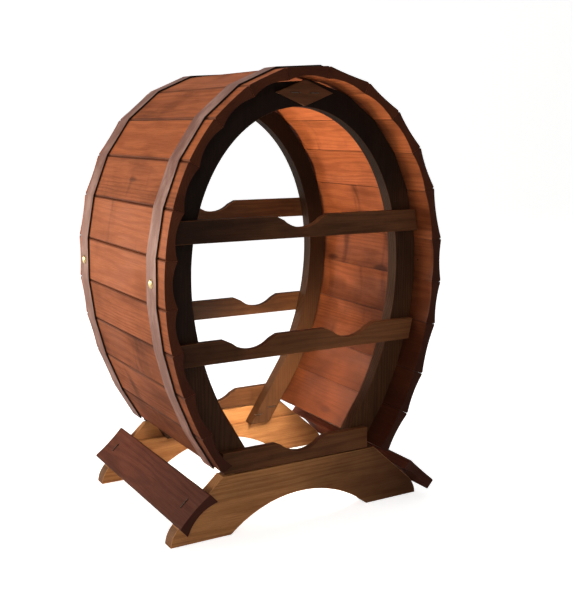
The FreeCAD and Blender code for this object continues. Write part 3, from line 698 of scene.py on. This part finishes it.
@dataclass
class Straps:
    """The two straps and their domed brass tacks."""

    ease: float = 0.0004
    head_radius: float = 0.006
    head_height: float = 0.0026
    rim_height: float = 0.0006
    seat_share: float = 0.98
    shoulder_share: float = 0.985
    dome_share: float = 0.93
    around: int = 40
    rings: int = 9
    tacked: tuple[tuple[str, float], ...] = (("stave_05", -1.0), ("stave_17", 1.0))
    strap_finish: StrapPaint = StrapPaint()
    brass: WornMetal = WornMetal(
        "worn_brass", "tack_brass", stain(250, 224, 168), stain(176, 134, 78))

    def head(self, shape: bmesh.types.BMesh, apex: Vector, outward: Vector) -> None:
        """Turn one domed tack head on its axis.

        Args:
            shape: The bmesh to add the head to.
            apex: The top of the dome.
            outward: The way that the dome looks.
        """
        fresh = bmesh.new()
        seat = -self.head_height
        rim_top = seat + self.rim_height
        outline = [
            Vector((0.0, 0.0, seat)),
            Vector((self.head_radius * self.seat_share, 0.0, seat)),
            Vector((self.head_radius, 0.0, seat + self.rim_height * 0.5)),
            Vector((self.head_radius * self.shoulder_share, 0.0, rim_top)),
        ]
        for step in range(1, self.rings):
            share = step / (self.rings - 1)
            radius = self.head_radius * self.dome_share * math.cos(share * math.pi / 2.0)
            rise = (self.head_height - self.rim_height) * math.sin(share * math.pi / 2.0)
            outline.append(Vector((radius, 0.0, rim_top + rise)))
        corners = [fresh.verts.new(point) for point in outline]
        edges = [fresh.edges.new(pair) for pair in zip(corners, corners[1:])]
        bmesh.ops.spin(fresh, geom=corners + edges, cent=(0, 0, 0), axis=(0, 0, 1),
                       angle=math.tau, steps=self.around, use_merge=True, use_duplicate=False)
        bmesh.ops.remove_doubles(fresh, verts=fresh.verts, dist=MERGE * 5)
        bmesh.ops.recalc_face_normals(fresh, faces=fresh.faces)
        turn = UP.rotation_difference(outward).to_matrix().to_4x4()
        fresh.transform(Matrix.Translation(apex) @ turn)
        part = bpy.data.meshes.new("tack_head")
        fresh.to_mesh(part)
        fresh.free()
        shape.from_mesh(part)
        bpy.data.meshes.remove(part)

    def outward(self, stave: str, side: float) -> Vector:
        """Find the way that a tacked stave's outer face looks.

        Args:
            stave: The stave's node.
            side: -1 for the left of the barrel, 1 for the right.

        Returns:
            The outward direction.
        """
        axes = Eased(stave, Run.DEPTH).axes(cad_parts[stave].data)
        sideways = max(axes, key=lambda axis: abs(axis.x))
        return sideways if sideways.x * side > 0.0 else -sideways

    def tacks(self, end: str, material: bpy.types.Material) -> bpy.types.Object:
        """Build the two tacks of one strap.

        Args:
            end: Front or rear.
            material: The brass.

        Returns:
            The piece with both heads.
        """
        node = f"{end}_hoop_tacks"
        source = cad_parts[node].data
        shape = bmesh.new()
        for stave, side in self.tacked:
            outward = self.outward(stave, side)
            own = [vertex.co for vertex in source.vertices if vertex.co.x * side > 0.0]
            top = max(own, key=lambda spot: spot.dot(outward))
            self.head(shape, top, outward)
        mesh = bpy.data.meshes.new(f"{node}_piece")
        shape.to_mesh(mesh)
        shape.free()
        mesh.materials.append(material)
        mesh.shade_smooth()
        mesh.set_sharp_from_angle(angle=TACK_SHADING_ANGLE)
        piece = bpy.data.objects.new(f"{node}_piece", mesh)
        bpy.context.scene.collection.objects.link(piece)
        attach(piece, ROOT)
        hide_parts(node)
        return piece

    def build(self) -> list[bpy.types.Object]:
        """Build the straps and tacks.

        Returns:
            The pieces.
        """
        pieces = dressed(["front_hoop", "rear_hoop"], Run.DEPTH, self.strap_finish,
                         ease=self.ease, sharp=math.radians(40.0))
        brass = self.brass.material()
        return pieces + [self.tacks(end, brass) for end in ("front", "rear")]


@dataclass
class Staples:
    """The wire staples of the plates, legs and slats, rounded like drawn wire."""

    nodes: tuple[str, ...] = ("front_plate_staples", "rear_plate_staples", "rear_leg_staples",
                              "left_slat_staples", "right_slat_staples")
    ease: float = 0.0004
    wire: WornMetal = WornMetal("staple_wire", "staple_steel", stain(120, 108, 98),
                                stain(52, 42, 36), 0.42)

    def build(self) -> list[bpy.types.Object]:
        """Build every group of staples.

        Returns:
            The pieces.
        """
        return dressed(list(self.nodes), Run.WIDTH, self.wire, ease=self.ease, segments=3)


# ------------------------------------------------------------------ studio


@dataclass
class Softbox:
    """One square area light."""

    name: str
    place: Vector
    target: Vector
    size: float
    power: float
    colour: Colour = (1.0, 1.0, 1.0)

    def build(self) -> bpy.types.Object:
        """Hang the light and aim it at its target.

        Returns:
            The light.
        """
        lamp = bpy.data.lights.new(self.name, "AREA")
        lamp.shape = "SQUARE"
        lamp.size = self.size
        lamp.energy = self.power
        lamp.color = self.colour
        light = bpy.data.objects.new(self.name, lamp)
        light.location = self.place
        light.visible_camera = False
        light.rotation_euler = (self.target - self.place).to_track_quat("-Z", "Y").to_euler()
        bpy.context.scene.collection.objects.link(light)
        return light


@dataclass
class Studio:
    """The pale floor and backdrop, the lights and the camera."""

    half_width: float = 9.0
    front: float = -4.0
    back: float = 3.2
    bend: float = 1.2
    top: float = 7.0
    bend_steps: int = 16
    shade: Colour = (0.97, 0.97, 0.96)
    sky: float = 0.22
    glow: float = 0.75
    camera_place: Vector = field(default_factory=lambda: Vector((-0.6026, -1.1180, 0.4984)))
    camera_turn: float = math.radians(30.18)
    camera_dip: float = math.radians(10.24)
    camera_roll: float = math.radians(0.11)
    lens: float = 57.0
    lights: tuple[Softbox, ...] = (
        Softbox("key", Vector((-2.6, 0.2, 1.1)), Vector((0.0, 0.0, 0.3)), 1.0, 14.0,
                (1.0, 0.95, 0.9)),
        Softbox("rear_window", Vector((-1.8, 1.75, 0.4)), Vector((0.14, 0.0, 0.38)), 0.35, 30.0,
                (1.0, 0.92, 0.8)),
        Softbox("front_fill", Vector((-1.1, -2.0, 0.9)), Vector((0.12, 0.0, 0.2)), 0.4, 8.0,
                (1.0, 0.92, 0.82)),
        Softbox("top", Vector((-0.2, 0.4, 2.6)), Vector((0.0, 0.0, 0.3)), 1.8, 18.0),
        Softbox("inner_glow", Vector((-0.1, 0.0, 0.38)), Vector((0.09, 0.0, 0.56)), 0.15, 0.75,
                (1.0, 0.88, 0.68)),
        Softbox("floor_glow", Vector((0.04, -0.02, 0.18)), Vector((0.11, 0.12, 0.05)), 0.09, 0.75,
                (1.0, 0.88, 0.68)),
    )

    def backdrop(self) -> bpy.types.Object:
        """Sweep the floor up into a wall behind the rack.

        Returns:
            The backdrop.
        """
        shape = bmesh.new()
        start = Vector((-self.half_width, self.front, 0.0))
        points = [start, Vector((-self.half_width, self.back, 0.0))]
        for step in range(1, self.bend_steps + 1):
            angle = math.pi / 2.0 * step / self.bend_steps
            points.append(Vector((-self.half_width, self.back + self.bend * math.sin(angle),
                                  self.bend * (1.0 - math.cos(angle)))))
        points.append(Vector((-self.half_width, self.back + self.bend, self.top)))
        corners = [shape.verts.new(point) for point in points]
        edges = [shape.edges.new(pair) for pair in zip(corners, corners[1:])]
        swept = bmesh.ops.extrude_edge_only(shape, edges=edges)["geom"]
        moved = [item for item in swept if isinstance(item, bmesh.types.BMVert)]
        bmesh.ops.translate(shape, verts=moved, vec=(2.0 * self.half_width, 0.0, 0.0))
        bmesh.ops.recalc_face_normals(shape, faces=shape.faces)
        mesh = bpy.data.meshes.new("studio_floor")
        shape.to_mesh(mesh)
        shape.free()
        mesh.shade_smooth()
        graph = Graph("studio_paper")
        place = graph.add("ShaderNodeTexCoord").outputs["Object"]
        paper = graph.noise(place, (3.0, 3.0, 3.0), 3.0)
        colour = graph.blend(graph.step(paper, 0.3, 0.7, 0.0, 0.15), self.shade, (0.9, 0.9, 0.9))
        seen = graph.add("ShaderNodeLightPath").outputs["Is Camera Ray"]
        mesh.materials.append(graph.surface({
            "Base Color": colour, "Roughness": 0.85, "Specular IOR Level": 0.1,
            "Emission Color": (1.0, 1.0, 1.0, 1.0),
            "Emission Strength": graph.math("MULTIPLY", seen, self.glow)}))
        floor = bpy.data.objects.new("studio_floor", mesh)
        bpy.context.scene.collection.objects.link(floor)
        return floor

    def surroundings(self) -> None:
        """Fill the room with even white light."""
        world = bpy.data.worlds.new("studio")
        world.use_nodes = True
        background = world.node_tree.nodes["Background"]
        background.inputs["Color"].default_value = (1.0, 1.0, 1.0, 1.0)
        background.inputs["Strength"].default_value = self.sky
        bpy.context.scene.world = world

    def camera(self) -> bpy.types.Object:
        """Set up the camera in front of the rack, to its left.

        Returns:
            The camera.
        """
        lens = bpy.data.cameras.new("camera")
        lens.lens = self.lens
        lens.sensor_width = 36.0
        lens.clip_end = 50.0
        camera = bpy.data.objects.new("camera", lens)
        forward = Vector((math.sin(self.camera_turn) * math.cos(self.camera_dip),
                          math.cos(self.camera_turn) * math.cos(self.camera_dip),
                          -math.sin(self.camera_dip)))
        turn = forward.to_track_quat("-Z", "Y").to_matrix().to_4x4()
        roll = Matrix.Rotation(self.camera_roll, 4, "Z")
        camera.matrix_world = Matrix.Translation(self.camera_place) @ turn @ roll
        bpy.context.scene.collection.objects.link(camera)
        bpy.context.scene.camera = camera
        return camera

    def build(self) -> None:
        """Set up everything that isn't the rack."""
        self.backdrop()
        self.surroundings()
        for light in self.lights:
            light.build()
        self.camera()
        bpy.context.scene.view_settings.view_transform = "Standard"


def main() -> None:
    """Build the rack's looks and the studio, and report each piece."""
    logging.basicConfig(level=logging.INFO, format="%(name)s: %(message)s")
    Studio().build()
    for assembly in (Barrel(), RingFrames(), BottleRails(), Cradle(), Straps(), Staples()):
        for piece in assembly.build():
            LOG.info("%s: %s with %d faces", type(assembly).__name__, piece.name,
                     len(piece.data.polygons))


if __name__ == "__main__":
    main()
